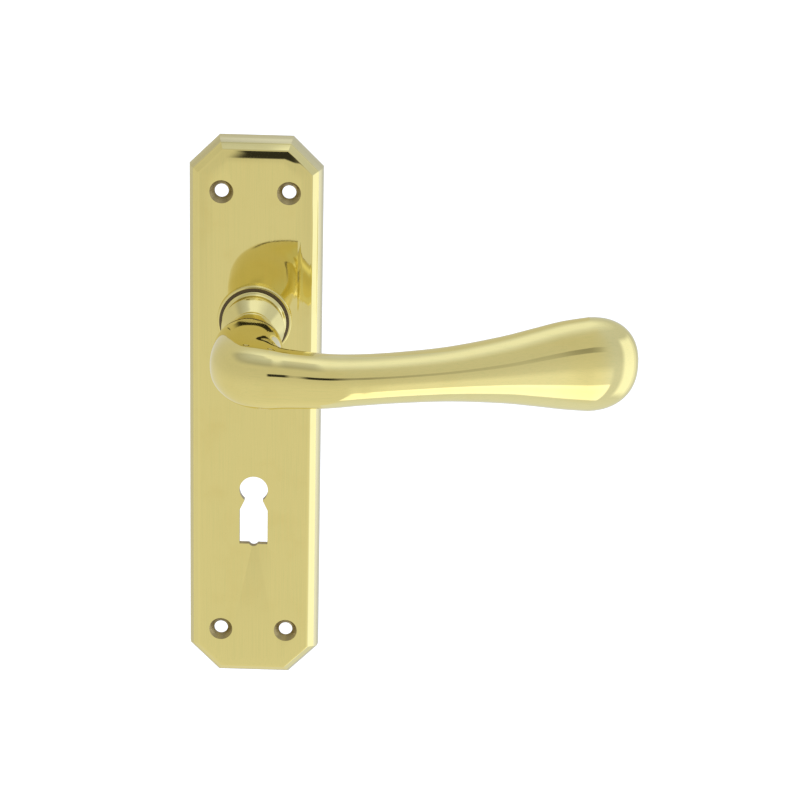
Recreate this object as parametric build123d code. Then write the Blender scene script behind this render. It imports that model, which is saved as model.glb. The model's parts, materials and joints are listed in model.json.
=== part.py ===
from build123d import *
import math
import os

# One side of a lever lock handle: a bevelled brass backplate with a sprung lever.
# Millimetres.  Origin on the spindle axis at the face that lies on the door,
# X to the right along the lever, Z up, the lever stands out towards -Y.

# ---- backplate -------------------------------------------------------------
plate_width = 41.5
plate_height = 180.0
spindle_below_top = 58.0
plate_thickness = 7.0
corner_cut = 9.4
face_wall = 2.0
pocket_inset = 4.6
# each step of the bevelled rim: distance in from the outline, height above the door
rim_steps = (
    (0.0, 0.0), (0.35, 2.6), (1.35, 4.1), (1.75, 4.35), (3.1, 6.35), (5.75, 6.88), (7.0, 7.0),
)

hole_overrun = 1.0

# ---- keyhole, measured from the spindle axis --------------------------------
key_centres = 57.0
key_head_radius = 4.5
key_waist_half = 2.9
key_waist_drop = 3.7
key_slot_half = 4.45
key_shoulder_drop = 7.0
key_slot_drop = 18.5
key_dip_radius = 1.6
key_dip_depth = 0.8

# ---- fixing holes -------------------------------------------------------------
hole_spacing_x = 20.8
hole_spacing_z = 147.0
hole_radius = 2.15
countersink_radius = 3.7

# ---- neck bearing ---------------------------------------------------------------
shank_radius = 7.5
bush_running_gap = 0.05
bush_outer_radius = 8.8
spigot_radius = 10.2
collar_radius = 11.6
collar_height = 1.3
bead_count = 2
bead_depth = 0.2
washer_thickness = 0.4
washer_radius = 10.9
washer_play = 0.1
shoulder_gap = 0.15
side_gap = 0.3

# ---- lever neck --------------------------------------------------------------------
shoulder_radius = 10.0
shoulder_rim = 0.4
waist_radius = 8.95
waist_flare = 1.6
ring_radius = 9.8
ring_back_radius = 9.45
ring_y = -14.5
ring_rise = 0.3
cone_end_radius = 6.9
cone_end_y = -19.4
neck_end_y = -21.0
shank_chamfer = 0.4
# the casting in front of the neck: y, half height, half width and squareness
neck_sections = (
    (-18.0, 6.4, 6.4, 2.0),
    (-24.5, 7.7, 8.5, 2.1),
    (-32.0, 8.6, 10.2, 2.25),
    (-38.5, 9.3, 10.7, 2.25),
)

# ---- spindle and its grub screw --------------------------------------------------
spindle_side = 8.0
socket_gap = 0.05
spindle_front_y = -30.0
spindle_back_y = 60.0
spindle_chamfer = 0.6
grub_radius = 2.0
grub_fit = 0.02
grub_y = -26.0
grub_end_z = -7.1
grub_hex_radius = 1.15
grub_hex_depth = 1.5

# ---- parts behind the plate ------------------------------------------------------------
travel_deg = 40.0
rear_washer_radius = 9.8
rear_washer_thickness = 0.4
cam_thickness = 1.2
cam_side_gap = 0.15
cam_key_gap = 0.04
cam_radius = 9.6
cam_flats_half = 6.6
arm_half_width = 3.0
arm_radius = 13.6
arm_rest_deg = 110.0
tab_thickness = 1.2
tab_height = 2.3
clip_thickness = 0.8
clip_side_gap = 0.05
clip_groove_depth = 0.55
clip_bore_gap = 0.05
clip_radius = 9.2
clip_mouth = 5.0
clip_lug_radius = 1.0
clip_lug_hole = 0.45
clip_lug_x = 3.3
clip_lug_inset = 1.3
wire_radius = 0.5
leg_wire_radius = 0.48
wire_gap = 0.2
coil_radius = 10.65
coil_pitch = 1.02
leg_radius = 13.4
post_radius = 1.25
post_centre_radius = 12.9
pin_press_depth = 1.0
pin_standout = 0.4
anchor_deg = 205.0
cover_radius = 15.0
cover_thickness = 0.5
cover_bore = 8.3
cover_back_gap = 0.15
ear_reach = 20.0
ear_half_width = 4.0
ear_height = 2.9
screw_centre = 17.5
screw_post_radius = 3.1
screw_radius = 1.25
screw_clearance = 0.1
screw_end_gap = 0.3
screw_slot_width = 0.6
screw_slot_depth = 0.5
screw_head_radius = 2.3
screw_head_height = 1.1

front_y = -plate_thickness
pocket_y = front_y + face_wall
mid_z = spindle_below_top - plate_height / 2
collar_front_y = front_y - collar_height
washer_front_y = collar_front_y - washer_thickness
shoulder_y = washer_front_y - shoulder_gap
back_limit_y = -cover_back_gap
shank_back_y = -0.4
rear_washer_back_y = pocket_y + rear_washer_thickness
cam_front_y = rear_washer_back_y + cam_side_gap
cam_back_y = cam_front_y + cam_thickness
clip_front_y = cam_back_y + clip_side_gap
clip_back_y = clip_front_y + clip_thickness

# Lever centreline in plan with the half height (Z), half depth and squareness of
# each section, from the neck, round the elbow and along the grip to its rounded end.
elbow_radius = 12.8
elbow_start_y = -45.9
elbow_sections = (
    (0.0, 9.6, 10.8, 2.25),
    (22.5, 9.7, 10.9, 2.3),
    (45.0, 9.8, 10.5, 2.4),
    (67.5, 9.5, 8.6, 2.45),
    (90.0, 8.8, 7.4, 2.45),
)
grip_sections = (
    (24.5, -59.6, 8.1, 7.0, 2.4),
    (35.0, -57.7, 7.6, 6.8, 2.35),
    (47.0, -54.6, 7.6, 6.8, 2.3),
    (61.5, -50.5, 8.3, 6.9, 2.25),
    (76.5, -45.9, 10.2, 7.2, 2.2),
    (86.0, -42.9, 12.0, 7.4, 2.2),
    (95.0, -40.2, 13.8, 7.6, 2.2),
    (103.0, -38.5, 14.8, 7.5, 2.2),
    (109.0, -37.3, 14.1, 7.0, 2.2),
    (113.5, -36.6, 11.8, 5.9, 2.15),
    (116.6, -36.2, 8.2, 4.1, 2.1),
    (118.2, -36.0, 3.8, 2.0, 2.0),
)
section_points = 20


def at_y(y, origin_x=0.0, origin_z=0.0):
    """A plane across the Y axis that looks forward, with its own X along the part's X."""
    return Plane(origin=(origin_x, y, origin_z), x_dir=(1, 0, 0), z_dir=(0, -1, 0))


def disc(radius, y_back, y_front, x=0.0, z=0.0):
    return extrude(at_y(y_back, x, z) * Circle(radius), amount=y_back - y_front)


def ring(outer, inner, y_back, y_front):
    return disc(outer, y_back, y_front) - disc(inner, y_back, y_front)


def polar(radius, degrees):
    return radius * math.cos(math.radians(degrees)), radius * math.sin(math.radians(degrees))


def octagon(inset, y):
    """The plate's outline, moved inwards by inset, as a face at height y."""
    half_x = plate_width / 2 - inset
    half_z = plate_height / 2 - inset
    cut = corner_cut - inset * (2 - math.sqrt(2))
    corners = [
        (half_x - cut, half_z), (half_x, half_z - cut), (half_x, cut - half_z), (half_x - cut, -half_z),
        (cut - half_x, -half_z), (-half_x, cut - half_z), (-half_x, half_z - cut), (cut - half_x, half_z),
    ]
    return at_y(y, 0, mid_z) * make_face(Polyline(*corners, close=True))


def keyhole_tool():
    """The keyhole's outline: a round head, a waist and a straight-sided slot."""
    head = Pos(0, -key_centres) * Circle(key_head_radius)
    corners = [
        (-key_waist_half, -key_centres), (key_waist_half, -key_centres),
        (key_waist_half, -key_centres - key_waist_drop),
        (key_slot_half, -key_centres - key_shoulder_drop),
        (key_slot_half, -key_centres - key_slot_drop),
        (-key_slot_half, -key_centres - key_slot_drop),
        (-key_slot_half, -key_centres - key_shoulder_drop),
        (-key_waist_half, -key_centres - key_waist_drop),
    ]
    slot = make_face(Polyline(*corners, close=True))
    dip_z = -key_centres - key_slot_drop - key_dip_depth + key_dip_radius
    dip = Pos(0, dip_z) * Circle(key_dip_radius)
    through = plate_thickness + 2 * hole_overrun
    return extrude(at_y(hole_overrun) * (head + slot + dip), amount=through)


def hole_places():
    for side in (-1, 1):
        for end in (-1, 1):
            yield side * hole_spacing_x / 2, mid_z + end * hole_spacing_z / 2


def countersunk_hole(x, z):
    drill = disc(hole_radius, hole_overrun, front_y - hole_overrun, x, z)
    sink_depth = countersink_radius - hole_radius
    sink = loft([
        at_y(front_y + sink_depth, x, z) * Circle(hole_radius),
        at_y(front_y, x, z) * Circle(countersink_radius),
    ])
    lead = disc(countersink_radius, front_y, front_y - hole_overrun, x, z)
    return drill + sink + lead


def screw_posts():
    """Two posts inside the plate that carry the spring cover's screws."""
    posts = []
    for side in (-1, 1):
        post = disc(screw_post_radius, -ear_height, pocket_y, 0, side * screw_centre)
        posts.append(post - disc(screw_radius, -ear_height, pocket_y, 0, side * screw_centre))
    return posts


def pin_places():
    """Angles and places of the two posts that stop the cam's arm, with a small gap."""
    arm_angle = math.degrees(math.asin(arm_half_width / post_centre_radius))
    post_angle = math.degrees((post_radius + side_gap) / post_centre_radius)
    reach = arm_angle + post_angle
    return [polar(post_centre_radius, arm_rest_deg + reach),
            polar(post_centre_radius, arm_rest_deg - travel_deg - reach)]


def backplate():
    skins = [octagon(inset, -height) for inset, height in rim_steps]
    layers = [loft([lower, upper], ruled=True) for lower, upper in zip(skins, skins[1:])]
    shell = layers[0].fuse(*layers[1:])
    pocket = extrude(octagon(pocket_inset, 0.0), amount=plate_thickness - face_wall)
    body = shell - pocket - keyhole_tool() - disc(spigot_radius, hole_overrun, front_y - hole_overrun)
    for x, z in hole_places():
        body -= countersunk_hole(x, z)
    for post in screw_posts():
        body += post
    for x, z in pin_places() + [polar(post_centre_radius, anchor_deg)]:
        body -= disc(post_radius, pocket_y, pocket_y - pin_press_depth, x, z)
    return body


def revolve_profile(points):
    """Turn a profile of (radius, y) points about the spindle axis."""
    face = make_face(Polyline(*[(r, y) for r, y in points], close=True))
    return revolve(face, axis=Axis.Y)


def collar_ring():
    """The turned collar: a spigot pressed in the plate and a beaded edge in front."""
    bead = collar_height / bead_count
    points = [(bush_outer_radius, pocket_y), (spigot_radius, pocket_y), (spigot_radius, front_y)]
    for index in range(bead_count):
        low = front_y - index * bead
        points += [(collar_radius - bead_depth, low), (collar_radius, low - bead / 2)]
    points += [(collar_radius - bead_depth, collar_front_y), (bush_outer_radius, collar_front_y)]
    return revolve_profile(points)


def bearing_bush():
    return ring(bush_outer_radius, shank_radius + bush_running_gap, pocket_y, collar_front_y)


def thrust_washer():
    return ring(washer_radius, shank_radius + washer_play, collar_front_y, washer_front_y)


def rear_washer():
    return ring(rear_washer_radius, shank_radius + washer_play, rear_washer_back_y, pocket_y)


def lever_section(x, y, heading_deg, half_height, half_depth, power):
    """One rounded section across the lever's centreline, as a face."""
    heading = math.radians(heading_deg)
    across_x = -math.sin(heading)
    across_y = math.cos(heading)
    points = []
    for index in range(section_points):
        turn = 2 * math.pi * index / section_points
        cosine = math.cos(turn)
        sine = math.sin(turn)
        depth = half_depth * math.copysign(abs(cosine) ** (2 / power), cosine)
        height = half_height * math.copysign(abs(sine) ** (2 / power), sine)
        points.append((x + across_x * depth, y + across_y * depth, height))
    return Face(Wire([Spline(*points, periodic=True)]))


def elbow_faces():
    for turn, half_height, half_depth, power in elbow_sections:
        angle = math.radians(turn)
        x = elbow_radius * (1 - math.cos(angle))
        y = elbow_start_y - elbow_radius * math.sin(angle)
        yield lever_section(x, y, turn - 90, half_height, half_depth, power)


def grip_faces():
    places = [(elbow_radius, elbow_start_y - elbow_radius)] + [row[:2] for row in grip_sections]
    for index, (x, y, half_height, half_depth, power) in enumerate(grip_sections, start=1):
        before = places[index - 1]
        after = places[min(index + 1, len(places) - 1)]
        heading = math.degrees(math.atan2(after[1] - before[1], after[0] - before[0]))
        yield lever_section(x, y, heading, half_height, half_depth, power)


def lever_blank():
    neck = [lever_section(0, y, -90, high, wide, power) for y, high, wide, power in neck_sections]
    return loft(neck + list(elbow_faces()) + list(grip_faces()))


def neck_turning():
    """The turned neck with its waist, ring and cone, and the shank that runs back to the cam."""
    groove_radius = shank_radius - clip_groove_depth
    return revolve_profile([
        (0, shank_back_y), (shank_radius - shank_chamfer, shank_back_y),
        (shank_radius, shank_back_y - shank_chamfer),
        (shank_radius, clip_back_y), (groove_radius, clip_back_y), (groove_radius, clip_front_y),
        (shank_radius, clip_front_y), (shank_radius, shoulder_y), (shoulder_radius, shoulder_y),
        (shoulder_radius, shoulder_y - shoulder_rim), (waist_radius, shoulder_y - waist_flare),
        (ring_back_radius, ring_y + ring_rise), (ring_radius, ring_y), (cone_end_radius, cone_end_y),
        (cone_end_radius, neck_end_y), (0, neck_end_y),
    ])


def lever():
    body = lever_blank() + neck_turning()
    socket_half = spindle_side / 2 + socket_gap
    socket = Pos(0, spindle_front_y / 2, 0) * Box(2 * socket_half, -spindle_front_y, 2 * socket_half)
    grub_hole = Pos(0, grub_y, -ring_radius / 2) * Cylinder(grub_radius, ring_radius)
    flat_depth = 2 * (shank_radius - cam_flats_half)
    flats = []
    for side in (-1, 1):
        flat = Box(flat_depth, -cam_front_y, 2 * shank_radius)
        flats.append(Pos(side * (cam_flats_half + flat_depth / 2), cam_front_y / 2, 0) * flat)
    return body - socket - grub_hole - flats


def spindle():
    length = spindle_back_y - spindle_front_y
    bar = Pos(0, (spindle_back_y + spindle_front_y) / 2, 0) * Box(spindle_side, length, spindle_side)
    ends = bar.faces().filter_by(Axis.Y)
    return chamfer(ends.edges(), spindle_chamfer)


def grub_screw():
    top_z = -spindle_side / 2
    body = Pos(0, grub_y, (grub_end_z + top_z) / 2) * Cylinder(grub_radius - grub_fit, top_z - grub_end_z)
    drive = Plane(origin=(0, grub_y, grub_end_z)) * RegularPolygon(grub_hex_radius, 6)
    return body - extrude(drive, amount=grub_hex_depth)


def spring_cam():
    """The stamped cam: keyed on the shank's flats, with an arm and a bent spring tab."""
    plate = disc(cam_radius, cam_back_y, cam_front_y)
    arm = Pos(arm_radius / 2, 0, 0) * Box(arm_radius, cam_thickness, 2 * arm_half_width)
    tab = Pos(arm_radius - tab_thickness / 2, (cam_thickness + tab_height) / 2, 0)
    tab = tab * Box(tab_thickness, tab_height, 2 * arm_half_width)
    arm = Pos(0, (cam_front_y + cam_back_y) / 2, 0) * Rot(0, -arm_rest_deg, 0) * (arm + tab)
    key = disc(shank_radius + cam_key_gap, cam_back_y, cam_front_y)
    key = key & Box(2 * (cam_flats_half + cam_key_gap), plate_thickness * 2, cam_radius * 2)
    return plate + arm - key


def circlip():
    """The clip in the shank's groove, open at the bottom between two lugs."""
    clip = ring(clip_radius, shank_radius - clip_groove_depth + clip_bore_gap, clip_back_y, clip_front_y)
    clip -= Pos(0, clip_front_y, -clip_radius / 2) * Box(clip_mouth, 2 * clip_thickness + 1, clip_radius)
    for side in (-1, 1):
        place = (side * clip_lug_x, clip_lug_inset - clip_radius)
        clip += disc(clip_lug_radius, clip_back_y, clip_front_y, *place)
        clip -= disc(clip_lug_hole, clip_back_y, clip_front_y, *place)
    return clip


def return_spring():
    """A torsion spring: its first leg on the spring post, its last on the cam's tab."""
    first_y = cam_back_y + wire_gap + wire_radius
    post_side = anchor_deg - math.degrees((post_radius + wire_radius + wire_gap) / post_centre_radius)
    tab_reach = arm_half_width + wire_radius + wire_gap / 2
    tab_side = arm_rest_deg - math.degrees(tab_reach / (arm_radius - tab_thickness))
    turned = post_side - tab_side + 360
    end_past_leg = math.degrees(2 * wire_radius / coil_radius)
    total = turned + 2 * end_past_leg
    coil = Helix(coil_pitch, coil_pitch * total / 360, coil_radius, center=(0, 0, 0), direction=(0, 0, 1))
    wire = sweep(Plane(origin=coil @ 0, z_dir=coil % 0) * Circle(wire_radius), path=coil)
    for angle in (end_past_leg, total - end_past_leg):
        x, y = polar(coil_radius - wire_radius / 2, angle)
        outward = Vector(*polar(1, angle))
        place = Plane(origin=(x, y, coil_pitch * angle / 360), z_dir=outward)
        wire += extrude(place * Circle(leg_wire_radius), amount=leg_radius - coil_radius + wire_radius / 2)
    return Pos(0, first_y, 0) * Rot(0, -post_side - end_past_leg, 0) * Rot(-90, 0, 0) * wire


def stop_pins():
    back = cam_back_y + pin_standout
    return [disc(post_radius, back, pocket_y - pin_press_depth, x, z) for x, z in pin_places()]


def spring_post():
    x, z = polar(post_centre_radius, anchor_deg)
    return disc(post_radius, back_limit_y - cover_thickness - side_gap, pocket_y - pin_press_depth, x, z)


def spring_cover():
    """The pressed cover over the spring: a raised disc with two lower ears."""
    top = ring(cover_radius, cover_bore, back_limit_y, back_limit_y - cover_thickness)
    skirt = ring(cover_radius, cover_radius - cover_thickness, back_limit_y, -ear_height)
    cover = top + skirt
    reach = ear_reach - cover_radius + cover_thickness
    ear_middle_z = cover_radius - cover_thickness + reach / 2
    for side in (-1, 1):
        place = Pos(0, -ear_height + cover_thickness / 2, side * ear_middle_z)
        cover += place * Box(2 * ear_half_width, cover_thickness, reach)
        cover -= disc(screw_radius + screw_clearance, 0, front_y, 0, side * screw_centre)
    return cover


def cover_screws():
    screws = []
    for side in (-1, 1):
        z = side * screw_centre
        seat = -ear_height + cover_thickness
        head = disc(screw_head_radius, seat + screw_head_height, seat, 0, z)
        shaft = disc(screw_radius, seat, pocket_y + screw_end_gap, 0, z)
        slot = Box(3 * screw_head_radius, 2 * screw_slot_depth, screw_slot_width)
        slot = Pos(0, seat + screw_head_height, z) * slot
        screws.append(head + shaft - slot)
    return screws


def write_node(name, shape):
    shapes = shape if isinstance(shape, list) else [shape]
    solids = [solid for item in shapes for solid in item.solids()]
    export_step(Compound(children=solids), f"parts/{name}.step")


nodes = {
    "backplate": backplate,
    "collar_ring": collar_ring,
    "bearing_bush": bearing_bush,
    "thrust_washer": thrust_washer,
    "rear_washer": rear_washer,
    "lever": lever,
    "spindle": spindle,
    "grub_screw": grub_screw,
    "spring_cam": spring_cam,
    "circlip": circlip,
    "return_spring": return_spring,
    "stop_pins": stop_pins,
    "spring_post": spring_post,
    "spring_cover": spring_cover,
    "cover_screws": cover_screws,
}

os.makedirs("parts", exist_ok=True)
for node_name, make in nodes.items():
    write_node(node_name, make())
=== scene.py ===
import json
import math

import bmesh
import bpy
from mathutils import Matrix, Vector


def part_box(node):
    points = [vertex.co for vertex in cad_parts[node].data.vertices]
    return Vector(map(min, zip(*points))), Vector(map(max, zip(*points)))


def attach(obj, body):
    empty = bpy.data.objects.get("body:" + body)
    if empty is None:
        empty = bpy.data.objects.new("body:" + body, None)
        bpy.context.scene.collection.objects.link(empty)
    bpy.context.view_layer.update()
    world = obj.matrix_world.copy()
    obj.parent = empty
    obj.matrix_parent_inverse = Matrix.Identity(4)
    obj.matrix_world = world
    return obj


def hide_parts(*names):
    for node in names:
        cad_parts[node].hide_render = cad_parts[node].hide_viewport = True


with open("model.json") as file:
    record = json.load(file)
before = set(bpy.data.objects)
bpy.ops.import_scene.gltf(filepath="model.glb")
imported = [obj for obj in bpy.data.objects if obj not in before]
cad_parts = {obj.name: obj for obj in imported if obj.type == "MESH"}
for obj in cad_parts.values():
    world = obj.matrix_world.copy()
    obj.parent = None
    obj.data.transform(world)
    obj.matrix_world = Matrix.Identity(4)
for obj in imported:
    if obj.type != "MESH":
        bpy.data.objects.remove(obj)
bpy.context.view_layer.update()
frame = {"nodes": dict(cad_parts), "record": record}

# The front of the object faces -Y, and the door lies at y = 0.
MM = 0.001

# ---- places taken from the frame ------------------------------------------------
plate_low, plate_high = (Vector(corner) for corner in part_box("backplate"))
collar_low, collar_high = (Vector(corner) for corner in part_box("collar_ring"))
FACE_Y = plate_low.y
PLATE_MID_Z = (plate_low.z + plate_high.z) / 2
HALF_WIDTH = (plate_high.x - plate_low.x) / 2
HALF_HEIGHT = (plate_high.z - plate_low.z) / 2
WASHER_FRONT_Y = Vector(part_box("thrust_washer")[0]).y
LEVER_END_X = Vector(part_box("lever")[1]).x
fixing_holes = next(mount for mount in frame["record"]["mounts"] if mount["name"] == "fixing_holes")
HOLE_RADIUS = fixing_holes["dims"]["hole_r_mm"] * MM
HOLE_MID_Z = fixing_holes["pos_m"][2]
HOLE_X = fixing_holes["dims"]["spacing_x_mm"] * MM / 2
HOLE_Z = fixing_holes["dims"]["spacing_y_mm"] * MM / 2
HOLE_PLACES = [(side * HOLE_X, HOLE_MID_Z + end * HOLE_Z) for side in (-1, 1) for end in (-1, 1)]
OVERRUN = 1 * MM  # how far a cutting tool runs past the face that it cuts


# ---- mesh tools -----------------------------------------------------------------
def mesh_object(name, bm, smooth=True):
    """A new object from a bmesh."""
    mesh = bpy.data.meshes.new(name)
    bmesh.ops.recalc_face_normals(bm, faces=bm.faces)
    bm.to_mesh(mesh)
    bm.free()
    piece = bpy.data.objects.new(name, mesh)
    bpy.context.scene.collection.objects.link(piece)
    for face in mesh.polygons:
        face.use_smooth = smooth
    return piece


def bridge_rings(bm, rings):
    """A closed skin over successive rings of vertices, with a cap at each end."""
    for lower, upper in zip(rings, rings[1:]):
        count = len(lower)
        for index in range(count):
            after = (index + 1) % count
            bm.faces.new((lower[index], lower[after], upper[after], upper[index]))
    bm.faces.new(list(reversed(rings[0])))
    bm.faces.new(rings[-1])


def apply_modifiers(piece):
    """Puts the modifiers' result into the mesh."""
    depsgraph = bpy.context.evaluated_depsgraph_get()
    mesh = bpy.data.meshes.new_from_object(piece.evaluated_get(depsgraph))
    piece.modifiers.clear()
    piece.data = mesh


def cut(piece, tool):
    """Takes the tool's volume out of the piece and removes the tool."""
    boolean = piece.modifiers.new("cut", "BOOLEAN")
    boolean.operation = "DIFFERENCE"
    boolean.solver = "EXACT"
    boolean.object = tool
    apply_modifiers(piece)
    bpy.data.objects.remove(tool)


def soften_edges(piece, width, segments=3, angle=25.0):
    """Rounds every edge sharper than the angle, in degrees."""
    bevel = piece.modifiers.new("soft_edges", "BEVEL")
    bevel.width = width
    bevel.segments = segments
    bevel.limit_method = "ANGLE"
    bevel.angle_limit = math.radians(angle)
    bevel.harden_normals = False
    bevel.use_clamp_overlap = True
    apply_modifiers(piece)


def flatten_broad_faces(piece, smallest_area):
    """Shades the large faces as flat, so that the rounded edges beside them leave no streaks."""
    for face in piece.data.polygons:
        if face.area > smallest_area:
            face.use_smooth = False


def prism(name, outline, y_back, y_front):
    """A closed solid with the given outline in X and Z."""
    bm = bmesh.new()
    rings = [[bm.verts.new((x, y, z)) for x, z in outline] for y in (y_back, y_front)]
    bridge_rings(bm, rings)
    return mesh_object(name, bm, smooth=False)


def circle_outline(x, z, radius, count=64, start=0.0, sweep=360.0):
    """Points along a circle or an arc in X and Z, with angles in degrees."""
    closed = sweep >= 360.0
    steps = count if closed else count - 1
    angles = [math.radians(start + sweep * index / steps) for index in range(count)]
    return [(x + radius * math.cos(angle), z + radius * math.sin(angle)) for angle in angles]


WELD = 0.0001 * MM


def turned(name, profile, count=96, x=0.0, z=0.0):
    """A turned piece about an axis along Y, from (radius, y) points of a closed profile."""
    bm = bmesh.new()
    rings = []
    for index in range(count):
        angle = 2 * math.pi * index / count
        cosine, sine = math.cos(angle), math.sin(angle)
        rings.append([bm.verts.new((x + r * cosine, y, z + r * sine)) for r, y in profile])
    for index in range(count):
        here = rings[index]
        after = rings[(index + 1) % count]
        for point in range(len(profile)):
            following = (point + 1) % len(profile)
            bm.faces.new((here[point], here[following], after[following], after[point]))
    bmesh.ops.remove_doubles(bm, verts=bm.verts, dist=WELD)
    return mesh_object(name, bm)


# ---- backplate ------------------------------------------------------------------
CORNER_CUT = 9.4 * MM
FACE_WALL = 2.0 * MM
POCKET_INSET = 4.6 * MM
SINK_RADIUS = 3.7 * MM
BORE_RADIUS = collar_high.x - 1.4 * MM
EDGE_ROUND = 0.12 * MM
BROAD_FACE = 500 * MM ** 2
# the bevelled rim, from the door outwards: distance in from the outline, height off the door
RIM_PROFILE = (
    (0.0, 0.0), (0.05, 0.4), (0.35, 2.6), (0.55, 3.0), (1.35, 4.1),
    (1.6, 4.28), (1.75, 4.38), (2.9, 6.12), (3.1, 6.3),
)
# the shallow facet inside the rim and the way it runs into the flat face: inset and height
CROWN_PROFILE = ((3.35, 6.38), (5.75, 6.87), (6.3, 6.955), (6.9, 6.99), (7.5, 7.0))


def octagon_ring(bm, inset, height):
    """The plate's outline, moved inwards by inset, at a height off the door."""
    half_x = HALF_WIDTH - inset
    half_z = HALF_HEIGHT - inset
    corner = CORNER_CUT - inset * (2 - math.sqrt(2))
    outline = (
        (half_x - corner, half_z), (half_x, half_z - corner),
        (half_x, corner - half_z), (half_x - corner, -half_z),
        (corner - half_x, -half_z), (-half_x, corner - half_z),
        (-half_x, half_z - corner), (corner - half_x, half_z),
    )
    return [bm.verts.new((x, -height, z + PLATE_MID_Z)) for x, z in outline]


# the keyhole: a round head, a waist, a straight slot with sloping shoulders and a small dip in its foot
KEY_CENTRES = 57.0 * MM
KEY_HEAD = 4.5 * MM
KEY_WAIST = 2.9 * MM
KEY_SLOT = 4.45 * MM
KEY_WAIST_Z = -60.7 * MM
KEY_SHOULDER_Z = -64.0 * MM
KEY_FOOT_Z = -75.5 * MM
KEY_DIP = 1.6 * MM
KEY_DIP_DEPTH = 0.8 * MM


def keyhole_outline():
    """The keyhole's points in X and Z: round the head from its lower right, down the left and back up."""
    waist_angle = math.degrees(math.asin(KEY_WAIST / KEY_HEAD))
    outline = circle_outline(0, -KEY_CENTRES, KEY_HEAD, 48, waist_angle - 90, 360 - 2 * waist_angle)
    outline += [(-KEY_WAIST, KEY_WAIST_Z), (-KEY_SLOT, KEY_SHOULDER_Z), (-KEY_SLOT, KEY_FOOT_Z)]
    dip_centre = KEY_FOOT_Z - KEY_DIP_DEPTH + KEY_DIP
    dip_half = math.degrees(math.acos((KEY_DIP - KEY_DIP_DEPTH) / KEY_DIP))
    outline += circle_outline(0, dip_centre, KEY_DIP, 12, -90 - dip_half, 2 * dip_half)
    outline += [(KEY_SLOT, KEY_FOOT_Z), (KEY_SLOT, KEY_SHOULDER_Z), (KEY_WAIST, KEY_WAIST_Z)]
    return outline


def pocket_tool():
    """A tool for the hollow back of the plate."""
    bm = bmesh.new()
    rings = [octagon_ring(bm, POCKET_INSET, -OVERRUN), octagon_ring(bm, POCKET_INSET, -FACE_Y - FACE_WALL)]
    bridge_rings(bm, rings)
    return mesh_object("pocket", bm, smooth=False)


def build_backplate():
    """The plate with its hollow back, keyhole, bore and four countersunk holes."""
    bm = bmesh.new()
    profile = RIM_PROFILE + CROWN_PROFILE
    bridge_rings(bm, [octagon_ring(bm, inset * MM, height * MM) for inset, height in profile])
    plate = mesh_object("plate_casting", bm)
    back, front = OVERRUN, FACE_Y - OVERRUN
    cut(plate, pocket_tool())
    cut(plate, prism("keyhole", keyhole_outline(), back, front))
    cut(plate, prism("bore", circle_outline(0, 0, BORE_RADIUS), back, front))
    hole_profile = (
        (0, back), (HOLE_RADIUS, back), (HOLE_RADIUS, FACE_Y + SINK_RADIUS - HOLE_RADIUS),
        (SINK_RADIUS, FACE_Y), (SINK_RADIUS, front), (0, front),
    )
    for x, z in HOLE_PLACES:
        cut(plate, turned("hole", hole_profile, 64, x, z))
    soften_edges(plate, EDGE_ROUND)
    flatten_broad_faces(plate, BROAD_FACE)
    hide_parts("backplate")
    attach(plate, "plate_body")
    return plate


# the posts, in mm; the foot of each runs a little way into the plate's face wall
POST_RADIUS = 3.1
POST_BORE = 1.25
POST_TOP = -2.9
POST_Z = 17.5
POST_CHAMFER = 0.2
POST_FOOT_Y = FACE_Y / MM + 1.9
POST_FOOT_FLARE = 0.35
POST_FOOT_HEIGHT = 0.4


def build_posts():
    """The two posts inside the plate that take the spring cover's screws."""
    profile = (
        (POST_BORE, POST_TOP - POST_CHAMFER), (POST_BORE + POST_CHAMFER, POST_TOP),
        (POST_RADIUS - POST_CHAMFER, POST_TOP), (POST_RADIUS, POST_TOP - POST_CHAMFER),
        (POST_RADIUS, POST_FOOT_Y + POST_FOOT_HEIGHT), (POST_RADIUS + POST_FOOT_FLARE, POST_FOOT_Y),
        (POST_BORE, POST_FOOT_Y),
    )
    for name, z in (("screw_post_upper", POST_Z), ("screw_post_lower", -POST_Z)):
        post = turned(name, [(r * MM, y * MM) for r, y in profile], 48, 0.0, z * MM)
        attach(post, "plate_body")
        yield post


# ---- collar -----------------------------------------------------------------------
COLLAR_INNER = 8.8 * MM
COLLAR_SEAT_Y = FACE_Y + 0.5 * MM
BEADS = 2
BEAD_STEPS = 6
BEAD_HEIGHT = 0.28 * MM
BEAD_FULLNESS = 0.7  # under 1, the beads are fuller than half a sine wave
COLLAR_LEDGE = 0.5 * MM
COLLAR_ROUND = 0.05 * MM


def build_collar():
    """The collar at the foot of the neck, with fine beads round its edge."""
    groove_radius = collar_high.x - BEAD_HEIGHT
    front = collar_low.y
    depth = (FACE_Y - front) / BEADS
    profile = [(COLLAR_INNER, COLLAR_SEAT_Y), (groove_radius, COLLAR_SEAT_Y)]
    for bead in range(BEADS):
        for step in range(BEAD_STEPS + 1):
            share = step / BEAD_STEPS
            rise = BEAD_HEIGHT * math.sin(math.pi * share) ** BEAD_FULLNESS
            profile.append((groove_radius + rise, FACE_Y - depth * (bead + share)))
    profile += [(groove_radius - COLLAR_LEDGE, front), (COLLAR_INNER, front)]
    collar = turned("collar_beads", profile, 128)
    soften_edges(collar, COLLAR_ROUND, segments=2, angle=40.0)
    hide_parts("collar_ring")
    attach(collar, "plate_body")
    return collar


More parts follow.
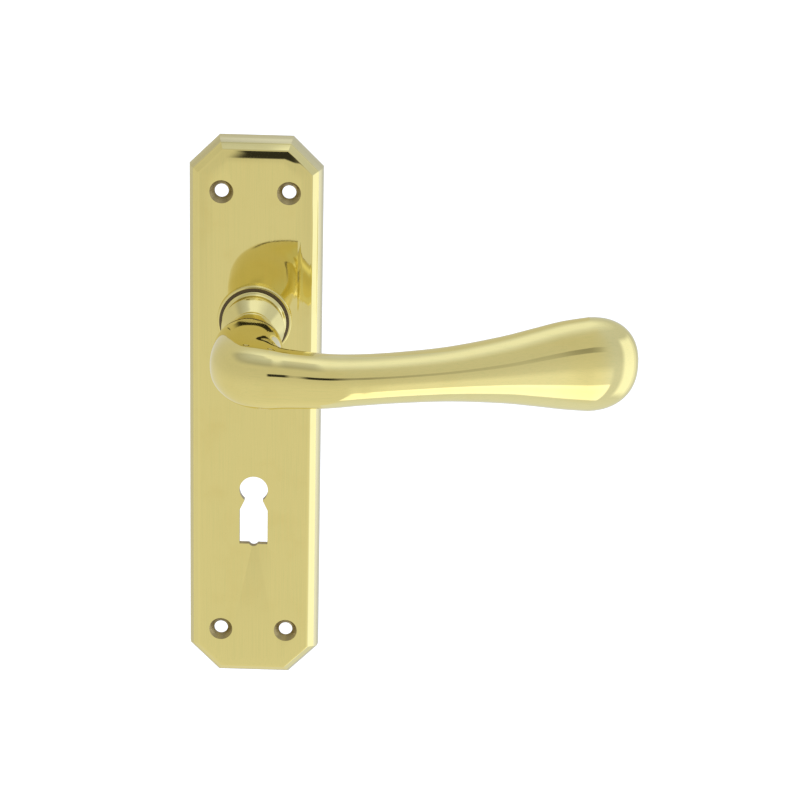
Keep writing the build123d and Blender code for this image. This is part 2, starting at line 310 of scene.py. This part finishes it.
# ---- lever ----------------------------------------------------------------------------
# Each section is a superellipse, with lengths in mm. Its squareness is 2 for an ellipse and more for a
# boxier shape.
# where the casting leaves the neck: y, half height, half width and squareness
NECK = (
    (-18.0, 6.4, 6.4, 2.0),
    (-24.5, 7.7, 8.5, 2.1),
    (-32.0, 8.6, 10.2, 2.25),
    (-38.5, 9.3, 10.7, 2.25),
)
# the elbow's quarter turn in plan: degrees turned, half height, half depth and squareness
ELBOW_RADIUS = 12.8
ELBOW_START_Y = -45.9
ELBOW = (
    (0.0, 9.6, 10.8, 2.25),
    (22.5, 9.7, 10.9, 2.3),
    (45.0, 9.8, 10.5, 2.4),
    (67.5, 9.5, 8.6, 2.45),
    (90.0, 8.8, 7.4, 2.45),
)
# the grip: x, y, half height, half depth and squareness
GRIP = (
    (24.5, -59.6, 8.1, 7.0, 2.4),
    (35.0, -57.7, 7.6, 6.8, 2.35),
    (47.0, -54.6, 7.6, 6.8, 2.3),
    (61.5, -50.5, 8.3, 6.9, 2.25),
    (76.5, -45.9, 10.2, 7.2, 2.2),
    (86.0, -42.9, 12.0, 7.4, 2.2),
    (95.0, -40.2, 13.8, 7.6, 2.2),
    (103.0, -38.5, 14.8, 7.5, 2.2),
)
END_POWER = 2.3
END_SMALLEST = 0.002
SECTION_POINTS = 96
SPAN_STEPS = 8
END_STEPS = 18


def catmull(before, start, end, after, share):
    """A point on the smooth curve from start to end, as a tuple of numbers."""
    result = []
    for a, b, c, d in zip(before, start, end, after):
        result.append(0.5 * (2 * b + (c - a) * share + (2 * a - 5 * b + 4 * c - d) * share ** 2
                             + (3 * b - a - 3 * c + d) * share ** 3))
    return tuple(result)


def lever_stations():
    """Rows of x, y, half height, half depth and squareness along the casting, in mm."""
    rows = [(0.0, *row) for row in NECK]
    for turn, high, deep, power in ELBOW:
        angle = math.radians(turn)
        x = ELBOW_RADIUS * (1 - math.cos(angle))
        rows.append((x, ELBOW_START_Y - ELBOW_RADIUS * math.sin(angle), high, deep, power))
    return rows + list(GRIP)


def smooth_rows(rows):
    """Adds rows along a smooth curve through the given ones."""
    padded = [rows[0]] + rows + [rows[-1]]
    dense = []
    for index in range(len(rows) - 1):
        for step in range(SPAN_STEPS):
            dense.append(catmull(*padded[index:index + 4], step / SPAN_STEPS))
    dense.append(rows[-1])
    return dense


def end_cap_rows(last, before):
    """The rounded end: sections that shrink to a point along the last heading."""
    x, y, high, deep, power = last
    run = Vector((x - before[0], y - before[1])).normalized()
    length = LEVER_END_X / MM - x
    rows = []
    for step in range(1, END_STEPS + 1):
        angle = math.pi / 2 * step / END_STEPS
        forward = length * math.sin(angle) ** (2 / END_POWER)
        scale = max(math.cos(angle), END_SMALLEST) ** (2 / END_POWER)
        rows.append((x + run.x * forward, y + run.y * forward, high * scale, deep * scale, power))
    return rows


def section_ring(bm, row, heading):
    """The outline of one section, square to the heading."""
    x, y, high, deep, power = row
    across = Vector((-heading.y, heading.x))
    ring = []
    for index in range(SECTION_POINTS):
        turn = 2 * math.pi * index / SECTION_POINTS
        cosine = math.cos(turn)
        sine = math.sin(turn)
        depth = deep * math.copysign(abs(cosine) ** (2 / power), cosine)
        height = high * math.copysign(abs(sine) ** (2 / power), sine)
        place = ((x + across.x * depth) * MM, (y + across.y * depth) * MM, height * MM)
        ring.append(bm.verts.new(place))
    return ring


def build_lever_casting():
    """The lever in one casting, from inside the neck's cone to the rounded end."""
    rows = smooth_rows(lever_stations())
    rows += end_cap_rows(rows[-1], rows[-2])
    bm = bmesh.new()
    rings = []
    for index, row in enumerate(rows):
        before = rows[max(index - 1, 0)]
        after = rows[min(index + 1, len(rows) - 1)]
        heading = Vector((after[0] - before[0], after[1] - before[1])).normalized()
        rings.append(section_ring(bm, row, heading))
    bridge_rings(bm, rings)
    casting = mesh_object("lever_casting", bm)
    cut(casting, grub_hole())
    cut(casting, prism("socket", square_outline(SOCKET_SIDE), OVERRUN, CASTING_SOCKET_Y * MM))
    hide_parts("lever")
    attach(casting, "lever_body")
    return casting


# the shank, from its back end to the shoulder, with the circlip's groove: radius and y, in mm
SHANK_PROFILE = (
    (0.0, -0.4), (7.1, -0.4), (7.5, -0.8), (7.5, -2.4), (6.95, -2.4), (6.95, -3.2), (7.5, -3.2),
)
# the turned neck in front of the washer: radius and distance in front of the shoulder, in mm
SHOULDER_PROFILE = (
    (7.5, 0.0), (9.9, 0.0), (10.0, 0.1), (9.97, 0.3), (9.75, 0.42), (9.4, 0.62),
    (9.12, 0.95), (8.98, 1.35), (8.96, 1.7), (9.0, 2.2),
)
# from the waist to the end of the cone: radius and y, in mm
RING_PROFILE = (
    (9.2, -12.6), (9.38, -14.0), (9.45, -14.2), (9.66, -14.4), (9.78, -14.5), (9.8, -14.6), (9.74, -14.72),
    (9.2, -15.6), (8.62, -16.6), (8.0, -17.65), (7.4, -18.65), (7.05, -19.2), (6.92, -19.5), (6.9, -19.8),
    (6.98, -20.1), (7.2, -20.35), (7.32, -20.7), (7.3, -21.0), (7.1, -21.3), (6.8, -21.4), (0.0, -21.4),
)
SHOULDER_GAP = 0.15
# the square socket for the spindle, and the grub screw's hole from below, in mm
SOCKET_SIDE = 8.1
CASTING_SOCKET_Y = -30.0
NECK_SOCKET_Y = -20.0
GRUB_Y = -26.0
GRUB_RADIUS = 2.0
GRUB_HOLE_LENGTH = 8.0


def square_outline(side):
    """A square about the spindle's axis, from a side in mm."""
    half = side * MM / 2
    return [(-half, -half), (half, -half), (half, half), (-half, half)]


def grub_hole():
    """A tool for the hole that the grub screw sits in, from below."""
    bm = bmesh.new()
    radius, length = GRUB_RADIUS * MM, GRUB_HOLE_LENGTH * MM
    bmesh.ops.create_cone(bm, cap_ends=True, segments=48, radius1=radius, radius2=radius, depth=length)
    bmesh.ops.translate(bm, verts=bm.verts, vec=(0, GRUB_Y * MM, -length))
    return mesh_object("grub_hole", bm)


def build_neck():
    """The turned shank and neck: shank, shoulder at the washer, waist, ring, cone and a fine bead."""
    shoulder = WASHER_FRONT_Y / MM - SHOULDER_GAP
    profile = list(SHANK_PROFILE)
    profile += [(r, shoulder - ahead) for r, ahead in SHOULDER_PROFILE] + list(RING_PROFILE)
    neck = turned("lever_neck", [(r * MM, y * MM) for r, y in profile], 160)
    cut(neck, prism("socket", square_outline(SOCKET_SIDE), OVERRUN, NECK_SOCKET_Y * MM))
    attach(neck, "lever_body")
    return neck


# ---- materials -------------------------------------------------------------------------
class Sums:
    """Small helper for arithmetic between shader sockets and numbers."""

    def __init__(self, tree):
        self.nodes = tree.nodes
        self.links = tree.links

    def feed(self, socket, value):
        """Sets a socket to a number, or links it to another socket."""
        if isinstance(value, (int, float)):
            socket.default_value = value
        else:
            self.links.new(value, socket)

    def do(self, operation, *values):
        node = self.nodes.new("ShaderNodeMath")
        node.operation = operation
        for socket, value in zip(node.inputs, values):
            self.feed(socket, value)
        return node.outputs[0]

    def product(self, first, *others):
        result = first
        for other in others:
            result = self.do("MULTIPLY", result, other)
        return result

    def step(self, value, start, end, low=0.0, high=1.0):
        """Rises smoothly from low to high as value goes from start to end."""
        node = self.nodes.new("ShaderNodeMapRange")
        node.interpolation_type = "SMOOTHSTEP"
        self.feed(node.inputs["Value"], value)
        self.feed(node.inputs["From Min"], start)
        self.feed(node.inputs["From Max"], end)
        self.feed(node.inputs["To Min"], low)
        self.feed(node.inputs["To Max"], high)
        return node.outputs["Result"]

    def ramp(self, value, stops):
        """Grey levels at places from 0 to 1, joined by straight lines."""
        node = self.nodes.new("ShaderNodeValToRGB")
        ramp = node.color_ramp
        while len(ramp.elements) < len(stops):
            ramp.elements.new(0.5)
        for element, (place, shade) in zip(ramp.elements, stops):
            element.position = place
            element.color = (shade, shade, shade, 1)
        self.links.new(value, node.inputs["Fac"])
        return node.outputs["Color"]


def new_material(name):
    """A material with its node tree and its main shader."""
    material = bpy.data.materials.new(name)
    material.use_nodes = True
    tree = material.node_tree
    return material, tree, tree.nodes["Principled BSDF"]


def object_place(tree, scale):
    """Object coordinates in millimetres, stretched by scale."""
    place = tree.nodes.new("ShaderNodeTexCoord")
    stretch = tree.nodes.new("ShaderNodeVectorMath")
    stretch.operation = "MULTIPLY"
    tree.links.new(place.outputs["Object"], stretch.inputs[0])
    stretch.inputs[1].default_value = tuple(value / MM for value in scale)
    return stretch.outputs["Vector"]


def turned_place(tree, scale):
    """Distance along the axis and from it, for marks that run round a turned piece."""
    sums = Sums(tree)
    place = tree.nodes.new("ShaderNodeTexCoord")
    split = tree.nodes.new("ShaderNodeSeparateXYZ")
    tree.links.new(place.outputs["Object"], split.inputs[0])
    x, y, z = split.outputs
    radius = sums.do("SQRT", sums.do("ADD", sums.product(x, x), sums.product(z, z)))
    join = tree.nodes.new("ShaderNodeCombineXYZ")
    tree.links.new(sums.product(radius, scale / MM), join.inputs[0])
    tree.links.new(sums.product(y, scale / MM), join.inputs[1])
    return join.outputs["Vector"]


def noise(tree, vector, scale, detail=3.0, rough=0.55):
    """Noise from 0 to 1, with about scale cells to each unit of the vector."""
    node = tree.nodes.new("ShaderNodeTexNoise")
    node.inputs["Scale"].default_value = scale
    node.inputs["Detail"].default_value = detail
    node.inputs["Roughness"].default_value = rough
    tree.links.new(vector, node.inputs["Vector"])
    return node.outputs["Fac"]


def add_bump(tree, shader, height, strength, distance):
    """Makes the shader's surface rise and fall with height."""
    bump = tree.nodes.new("ShaderNodeBump")
    bump.inputs["Strength"].default_value = strength
    bump.inputs["Distance"].default_value = distance
    tree.links.new(height, bump.inputs["Height"])
    tree.links.new(bump.outputs["Normal"], shader.inputs["Normal"])


def mixed(tree, share, first, second):
    """A colour between two others. Each is three numbers or a socket."""
    node = tree.nodes.new("ShaderNodeMix")
    node.data_type = "RGBA"
    tree.links.new(share, node.inputs["Factor"])
    for name, value in (("A", first), ("B", second)):
        if isinstance(value, tuple):
            node.inputs[name].default_value = (*value, 1)
        else:
            tree.links.new(value, node.inputs[name])
    return node.outputs["Result"]


# ---- metals ------------------------------------------------------------------------------
EVEN = (1, 1, 1)
# noise: how many cells to a millimetre
TURNED_MARKS = 6.0
CLOUDS = 0.09
SPECKS = 2.2
SCRATCH_GRAIN = (0.25, 3.0, 5.0)
# where on each noise, from 0 to 1, the effect starts and where it is full
SCRATCHED = (0.70, 0.78)
DULLED = (0.48, 0.80)
STREAKED = (0.42, 0.72)
RUBBED = (0.53, 0.62)
# colour: how far each effect shifts it
STREAK_SHARE = 0.75
STREAK_TINT = (0.93, 0.965, 0.96)
WORN_SHARE = 0.6
WORN_BRIGHTER = 1.06
RAW_SHARE = 0.9
RAW_BLEND = 0.15  # mm either side of the raw edge's line
RIDGE_WEAR = 0.18  # mm either side of a ridge
# roughness: the first three are in proportion to the metal's own
MARKS_ROUGHER = 1.2
DULL_ROUGHER = 0.9
WORN_SMOOTHER = 0.4
SCRATCH_ROUGHER = 0.05
RAW_ROUGHER = 0.3
SMOOTHEST = 0.012
# relief
SPECK_RELIEF = 0.25
SCRATCH_RELIEF = 0.5
METAL_BUMP = 0.01 * MM


def metal_marks(tree, grain):
    """Polishing marks: round the axis where grain is None, otherwise along the grain."""
    place = turned_place(tree, TURNED_MARKS) if grain is None else object_place(tree, grain)
    return noise(tree, place, 1.0, detail=4.0, rough=0.6)


def metal_wear(tree, off_door, ridges):
    """Where edges are rubbed bright: at the ridges' heights or, without them, where the shape is sharp."""
    sums = Sums(tree)
    if not ridges:
        return sums.step(tree.nodes.new("ShaderNodeNewGeometry").outputs["Pointiness"], *RUBBED)
    worn = 0.0
    for ridge in ridges:
        from_ridge = sums.do("ABSOLUTE", sums.do("SUBTRACT", off_door, ridge))
        worn = sums.do("ADD", worn, sums.step(from_ridge, RIDGE_WEAR, 0.0))
    return worn


def metal(name, colour, tarnish, roughness, grain, relief, raw_edge=None, ridges=()):
    """Worked metal: polishing marks along the grain, cloudy tarnish, bright worn edges, scratches.

    A grain of None is for turned pieces, whose marks run round the axis.
    raw_edge is a height off the door, in mm, below which the casting is left less polished.
    ridges are the heights of edges that are rubbed bright. Without them the wear follows the shape.
    """
    material, tree, shader = new_material(name)
    sums = Sums(tree)
    marks = metal_marks(tree, grain)
    clouds = noise(tree, object_place(tree, EVEN), CLOUDS, detail=4.0)
    specks = noise(tree, object_place(tree, EVEN), SPECKS, detail=2.0)
    scratches = noise(tree, object_place(tree, SCRATCH_GRAIN), 1.0, detail=1.0)
    scratched = sums.step(scratches, *SCRATCHED)
    dull = sums.step(clouds, *DULLED)
    split = tree.nodes.new("ShaderNodeSeparateXYZ")
    tree.links.new(object_place(tree, EVEN), split.inputs[0])
    off_door = sums.product(split.outputs[1], -1.0)
    worn = metal_wear(tree, off_door, ridges)

    tone = mixed(tree, dull, colour, tarnish)
    streak_colour = tuple(value * tint for value, tint in zip(colour, STREAK_TINT))
    tone = mixed(tree, sums.step(marks, *STREAKED, 0.0, STREAK_SHARE), tone, streak_colour)
    bright = tuple(min(1.0, value * WORN_BRIGHTER) for value in colour)
    tone = mixed(tree, sums.product(worn, WORN_SHARE), tone, bright)
    raw = 0.0
    if raw_edge is not None:
        raw = sums.step(off_door, raw_edge + RAW_BLEND, raw_edge - RAW_BLEND)
        tone = mixed(tree, sums.product(raw, RAW_SHARE), tone, RAW_BRASS)
    tree.links.new(tone, shader.inputs["Base Color"])
    shader.inputs["Metallic"].default_value = 1.0

    uneven = sums.product(sums.do("SUBTRACT", marks, 0.5), roughness * MARKS_ROUGHER)
    rough = sums.do("ADD", roughness, uneven)
    rough = sums.do("ADD", rough, sums.product(dull, roughness * DULL_ROUGHER))
    rough = sums.do("ADD", rough, sums.product(scratched, SCRATCH_ROUGHER))
    rough = sums.do("SUBTRACT", rough, sums.product(worn, roughness * WORN_SMOOTHER))
    rough = sums.do("ADD", rough, sums.do("MULTIPLY", raw, RAW_ROUGHER))
    tree.links.new(sums.do("MAXIMUM", rough, SMOOTHEST), shader.inputs["Roughness"])

    height = sums.do("ADD", marks, sums.product(specks, SPECK_RELIEF))
    height = sums.do("SUBTRACT", height, sums.product(scratched, SCRATCH_RELIEF))
    add_bump(tree, shader, height, relief, METAL_BUMP)
    return material


# ---- nylon -------------------------------------------------------------------------------
MOTTLE = 0.8
MOTTLED = (0.2, 0.8)
MOTTLE_PALER = 1.5
MOTTLE_LIFT = 0.01
NYLON_ROUGHNESS = (0.35, 0.55)
NYLON_GRAIN = 9.0
NYLON_RELIEF = 0.3
NYLON_BUMP = 0.02 * MM


def nylon(name, colour):
    """Moulded nylon: a faint mottle and a fine matt surface."""
    material, tree, shader = new_material(name)
    mottle = noise(tree, object_place(tree, EVEN), MOTTLE)
    paler = tuple(value * MOTTLE_PALER + MOTTLE_LIFT for value in colour)
    tree.links.new(mixed(tree, mottle, colour, paler), shader.inputs["Base Color"])
    tree.links.new(Sums(tree).step(mottle, *MOTTLED, *NYLON_ROUGHNESS), shader.inputs["Roughness"])
    grain = noise(tree, object_place(tree, EVEN), NYLON_GRAIN, detail=2.0)
    add_bump(tree, shader, grain, NYLON_RELIEF, NYLON_BUMP)
    return material


# ---- finishes ----------------------------------------------------------------------------
BRASS = (0.86, 0.742, 0.30)
BRASS_DULL = (0.835, 0.705, 0.272)
RAW_BRASS = (0.74, 0.66, 0.36)
# drilled brass for the walls of the holes and keyhole: a rougher finish, and a darker colour that is
# painted shade in these recesses
DRILLED_PAINTED_SHADE = (0.42, 0.33, 0.14)
DRILLED_PAINTED_SHADE_DULL = (0.28, 0.21, 0.09)
STEEL = (0.56, 0.56, 0.55)
STEEL_DULL = (0.44, 0.43, 0.41)
ZINC = (0.68, 0.66, 0.62)
ZINC_DULL = (0.56, 0.53, 0.47)
BLACKED = (0.09, 0.09, 0.10)
BLACKED_DULL = (0.15, 0.13, 0.11)
AMBER = (0.085, 0.055, 0.02)
# heights off the door, in mm, on the plate's rim
CAST_EDGE = 4.1
RIM_RIDGES = (4.38, 6.35)
# each metal's colour, tarnish, roughness, grain and relief, and the plate's raw edge and ridges
METALS = {
    "polished_brass": (BRASS, BRASS_DULL, 0.035, (3.0, 3.0, 0.05), 0.05, CAST_EDGE, RIM_RIDGES),
    "lever_brass": (BRASS, BRASS_DULL, 0.04, (0.06, 2.0, 3.0), 0.05),
    "turned_brass": (BRASS, BRASS_DULL, 0.06, None, 0.12),
    # the drilled walls: rougher, and darker as painted shade
    "drilled_brass_painted_shade": (DRILLED_PAINTED_SHADE, DRILLED_PAINTED_SHADE_DULL, 0.34, (2.0, 2.0, 2.0), 0.3),
    "spring_steel": (STEEL, STEEL_DULL, 0.24, (2.0, 2.0, 2.0), 0.3),
    "zinc_steel": (ZINC, ZINC_DULL, 0.3, (3.0, 0.1, 3.0), 0.4),
    "black_steel": (BLACKED, BLACKED_DULL, 0.38, (2.0, 2.0, 2.0), 0.5),
}


def build_materials():
    """One material for each finish, by name."""
    materials = {name: metal(name, *finish) for name, finish in METALS.items()}
    materials["nylon"] = nylon("nylon", AMBER)
    return materials


def dress(piece, material):
    """Gives the piece this material only."""
    piece.data.materials.clear()
    piece.data.materials.append(material)


# the finish of each CAD node that stays in view
NODE_FINISH = {
    "bearing_bush": "nylon",
    "thrust_washer": "nylon",
    "rear_washer": "spring_steel",
    "spindle": "zinc_steel",
    "grub_screw": "black_steel",
    "spring_cam": "zinc_steel",
    "circlip": "black_steel",
    "return_spring": "spring_steel",
    "stop_pins": "zinc_steel",
    "spring_post": "zinc_steel",
    "spring_cover": "zinc_steel",
    "cover_screws": "zinc_steel",
}
# where the plate's cut faces lie, with a little room round each cut
FRONT_FACING = 0.95
CUT_REACH = SINK_RADIUS + 0.1 * MM
KEY_REACH = KEY_SLOT + 0.3 * MM
KEY_TOP_Z = -KEY_CENTRES + KEY_HEAD + 0.5 * MM
KEY_BOTTOM_Z = KEY_FOOT_Z - 2 * MM


def is_cut_face(face):
    """Whether a face of the plate belongs to the wall of a fixing hole or of the keyhole."""
    if abs(face.normal.y) > FRONT_FACING:
        return False
    x, z = face.center.x, face.center.z
    if any(math.hypot(x - hole_x, z - hole_z) < CUT_REACH for hole_x, hole_z in HOLE_PLACES):
        return True
    return abs(x) < KEY_REACH and KEY_BOTTOM_Z < z < KEY_TOP_Z


def finish_and_shade_cut_faces(plate, material):
    """Gives the walls of the keyhole and holes, which are cut after polishing, their own rougher finish,
    with a darker colour that is painted shade in these recesses.
    """
    plate.data.materials.append(material)
    for face in plate.data.polygons:
        if is_cut_face(face):
            face.material_index = 1


def dress_cad(materials):
    """Gives each CAD node that stays in view its own finish."""
    for name, finish in NODE_FINISH.items():
        dress(frame["nodes"][name], materials[finish])


# ---- stage, light, camera -----------------------------------------------------------------
FLOOR_HALF = 3.0
FLOOR_Z = plate_low.z - 0.35
FLOOR_SHADE = (0.9, 0.9, 0.9, 1)
FLOOR_ROUGHNESS = 0.8
FLOOR_GLOW = 0.55


def build_stage():
    """A plain pale floor, bright enough to run into the white surround."""
    bm = bmesh.new()
    corners = ((-1, -1), (1, -1), (1, 1), (-1, 1))
    bm.faces.new([bm.verts.new((x * FLOOR_HALF, y * FLOOR_HALF, FLOOR_Z)) for x, y in corners])
    floor = mesh_object("floor", bm)
    material, _, shader = new_material("pale_floor")
    shader.inputs["Base Color"].default_value = FLOOR_SHADE
    shader.inputs["Roughness"].default_value = FLOOR_ROUGHNESS
    shader.inputs["Emission Color"].default_value = (1, 1, 1, 1)
    shader.inputs["Emission Strength"].default_value = FLOOR_GLOW
    dress(floor, material)
    floor.visible_glossy = False


# The tent is laid out in degrees. The rise is 0 at the horizon and 90 overhead. The turn is 0 in front of
# the part and 90 on its right. A pair of angles is where an effect starts and where it is full.
# brightness of the tent, by rise
TENT_LEVELS = (
    (-90, 0.84), (-60, 0.78), (-22, 0.76), (-4, 0.67), (18, 0.64),
    (46, 0.66), (62, 0.80), (76, 0.97), (90, 1.0),
)
# light panels: left, right, lower and upper edge, edge softness, added brightness
PANELS = (
    (27.0, 44.0, -60.0, -33.0, 1.2, 0.60),
    (26.0, 44.0, -38.0, -18.0, 4.0, 0.17),
    (62.0, 101.0, -50.0, 20.0, 6.0, 0.45),
    (101.0, 118.0, -50.0, 20.0, 6.0, 0.24),
)
# the thin dark slot in front
SLOT_RISE = 6.0
SLOT_HALF = 3.4
SLOT_SOFT = 1.4
SLOT_LEFT = (-12.5, -7.0)
SLOT_RIGHT = (40.0, 8.0)
SLOT_DIMMING = 0.95
# the dimmer patch overhead on the left
PATCH_BELOW = (30.0, 50.0)
PATCH_ABOVE = (88.0, 78.0)
PATCH_RIGHT = (14.0, -8.0)
PATCH_LEFT = (-140.0, -115.0)
PATCH_DIMMING = 0.3
# the tent is cooler overhead and on the right
WARM_TENT = (1.0, 1.0, 0.96)
COOL_TENT = (1.0, 1.07, 1.32)
COOL_ABOVE = (30.0, 70.0)
COOL_RIGHT = (20.0, 50.0)
BACKDROP_GLOW = 2.0


def tent_angles(tree):
    """The rise and the turn, in degrees, of the direction that light comes from."""
    sums = Sums(tree)
    place = tree.nodes.new("ShaderNodeTexCoord")
    split = tree.nodes.new("ShaderNodeSeparateXYZ")
    tree.links.new(place.outputs["Generated"], split.inputs[0])
    x, y, z = split.outputs
    rise = sums.do("DEGREES", sums.do("ARCSINE", z))
    turn = sums.do("DEGREES", sums.do("ARCTAN2", x, sums.product(y, -1.0)))
    return rise, turn


def tent_level(tree, rise, turn):
    """How bright the tent is in each direction."""
    sums = Sums(tree)

    def dimmed(level, share, amount):
        return sums.product(level, sums.do("SUBTRACT", 1.0, sums.product(share, amount)))

    height = sums.do("ADD", sums.do("DIVIDE", rise, 180.0), 0.5)
    level = sums.ramp(height, [(stop / 180 + 0.5, shade) for stop, shade in TENT_LEVELS])
    for left, right, low, high, soft, extra in PANELS:
        lit = sums.product(
            sums.step(turn, left - soft, left + soft), sums.step(turn, right + soft, right - soft),
            sums.step(rise, low - soft, low + soft), sums.step(rise, high + soft, high - soft),
        )
        level = sums.do("ADD", level, sums.product(lit, extra))

    from_slot = sums.do("ABSOLUTE", sums.do("SUBTRACT", rise, SLOT_RISE))
    slot = sums.product(
        sums.step(from_slot, SLOT_HALF + SLOT_SOFT, SLOT_HALF),
        sums.step(turn, *SLOT_RIGHT), sums.step(turn, *SLOT_LEFT),
    )
    patch = sums.product(
        sums.step(rise, *PATCH_BELOW), sums.step(rise, *PATCH_ABOVE),
        sums.step(turn, *PATCH_RIGHT), sums.step(turn, *PATCH_LEFT),
    )
    return dimmed(dimmed(level, slot, SLOT_DIMMING), patch, PATCH_DIMMING)


def build_world():
    """A white studio tent: brighter overhead and low on the right, with a thin dark slot in front."""
    world = bpy.data.worlds.new("studio")
    bpy.context.scene.world = world
    world.use_nodes = True
    tree = world.node_tree
    sums = Sums(tree)
    rise, turn = tent_angles(tree)
    cool = sums.do("MAXIMUM", sums.step(rise, *COOL_ABOVE), sums.step(turn, *COOL_RIGHT))
    light = tree.nodes.new("ShaderNodeVectorMath")
    light.operation = "SCALE"
    tree.links.new(mixed(tree, cool, WARM_TENT, COOL_TENT), light.inputs[0])
    tree.links.new(tent_level(tree, rise, turn), light.inputs["Scale"])

    # seen directly, the surround is pure white
    path = tree.nodes.new("ShaderNodeLightPath")
    glow = sums.product(path.outputs["Is Camera Ray"], BACKDROP_GLOW)
    bright = tree.nodes.new("ShaderNodeVectorMath")
    bright.operation = "ADD"
    tree.links.new(light.outputs["Vector"], bright.inputs[0])
    tree.links.new(glow, bright.inputs[1])
    tree.links.new(bright.outputs["Vector"], tree.nodes["Background"].inputs["Color"])


# the camera's place in metres, its angles in radians and its lens and sensor in mm
CAMERA_PLACE = Vector((0.06674, -1.00443, 0.35042))
CAMERA_YAW = -0.021
CAMERA_PITCH = 0.360
CAMERA_ROLL = 0.021
CAMERA_LENS = 153.0
CAMERA_SENSOR = 36.0
CAMERA_CLIP_END = 20.0


def build_camera():
    """The photograph's camera: it looks along +Y, down by the pitch."""
    forward = Vector((
        math.sin(CAMERA_YAW) * math.cos(CAMERA_PITCH),
        math.cos(CAMERA_YAW) * math.cos(CAMERA_PITCH),
        -math.sin(CAMERA_PITCH),
    ))
    right = forward.cross(Vector((0, 0, 1))).normalized()
    up = right.cross(forward)
    rolled_right = math.cos(CAMERA_ROLL) * right + math.sin(CAMERA_ROLL) * up
    rolled_up = math.cos(CAMERA_ROLL) * up - math.sin(CAMERA_ROLL) * right
    data = bpy.data.cameras.new("camera")
    data.lens = CAMERA_LENS
    data.sensor_width = CAMERA_SENSOR
    data.clip_end = CAMERA_CLIP_END
    camera = bpy.data.objects.new("camera", data)
    turn = Matrix((rolled_right, rolled_up, -forward)).transposed().to_4x4()
    camera.matrix_world = Matrix.Translation(CAMERA_PLACE) @ turn
    bpy.context.scene.collection.objects.link(camera)
    bpy.context.scene.camera = camera


build_camera()
build_world()
build_stage()
MATERIALS = build_materials()
dress_cad(MATERIALS)
backplate = build_backplate()
dress(backplate, MATERIALS["polished_brass"])
# the walls of the holes and keyhole get the darker drilled brass, which is painted shade in these recesses
finish_and_shade_cut_faces(backplate, MATERIALS["drilled_brass_painted_shade"])
for screw_post in build_posts():
    dress(screw_post, MATERIALS["polished_brass"])
dress(build_collar(), MATERIALS["turned_brass"])
dress(build_lever_casting(), MATERIALS["lever_brass"])
dress(build_neck(), MATERIALS["turned_brass"])

bpy.context.scene.view_settings.view_transform = "Standard"
